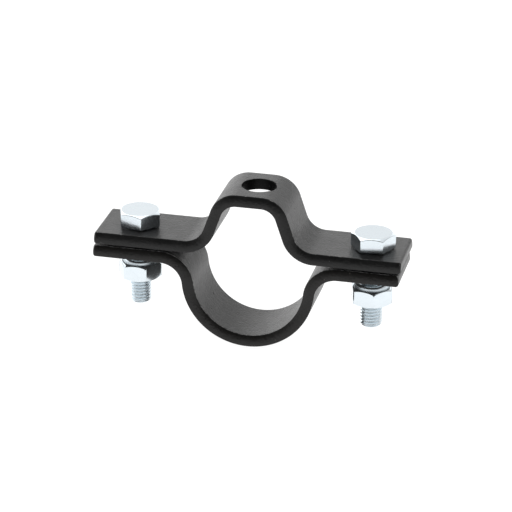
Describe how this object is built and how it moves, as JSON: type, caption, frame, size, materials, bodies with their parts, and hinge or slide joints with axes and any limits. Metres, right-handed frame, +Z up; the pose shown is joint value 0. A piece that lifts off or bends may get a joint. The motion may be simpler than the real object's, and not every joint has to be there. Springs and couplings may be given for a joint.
{
  "type": "pipe and hose clamp",
  "caption": "Two-part clamp of bent steel strip: a half-round saddle and a hat-shaped band with a hanger hole, joined by bolts and lock nuts.",
  "frame": {"origin": "centre of the pipe seat's circle, in the middle of the strip's width", "axes": "+X from the left bolt to the right bolt, +Y along the pipe, +Z up from the saddle to the hat"},
  "size_m": [0.1363, 0.03, 0.0702],
  "materials": {
    "black_coat": "satin black coating",
    "zinc_bolt": "bright blue-white zinc plating",
    "zinc_nut": "bright blue-white zinc plating",
    "nylon": "natural nylon"
  },
  "bodies": {
    "upper_band": {"upper_band": "black_coat"},
    "lower_band": {"lower_band": "black_coat"},
    "left_bolt": {"left_bolt": "zinc_bolt"},
    "right_bolt": {"right_bolt": "zinc_bolt"},
    "left_nut": {"left_lock_nut": "zinc_nut", "left_nylon_insert": "nylon"},
    "right_nut": {"right_lock_nut": "zinc_nut", "right_nylon_insert": "nylon"}
  },
  "joints": [
    {"name": "left_bolt_turn", "type": "hinge", "parent": "upper_band", "child": "left_bolt", "pos_m": [-0.052, 0, 0.0171], "axis": [0, 0, 1], "range_deg": [-360, 2160]},
    {"name": "right_bolt_turn", "type": "hinge", "parent": "upper_band", "child": "right_bolt", "pos_m": [0.052, 0, 0.0171], "axis": [0, 0, 1], "range_deg": [-360, 2160]},
    {"name": "left_nut_travel", "type": "slide", "parent": "upper_band", "child": "left_nut", "axis": [0, 0, 1], "range_m": [-0.009, 0.0015]},
    {"name": "right_nut_travel", "type": "slide", "parent": "upper_band", "child": "right_nut", "axis": [0, 0, 1], "range_m": [-0.009, 0.0015]},
    {"name": "lower_band_travel", "type": "slide", "parent": "upper_band", "child": "lower_band", "axis": [0, 0, -1], "range_m": [-0.001, 0.0015]}
  ],
  "couplings": [
    {"joint": "left_nut_travel", "follows": "left_bolt_turn", "m_per_rad": -0.00023873},
    {"joint": "right_nut_travel", "follows": "right_bolt_turn", "m_per_rad": -0.00023873}
  ]
}
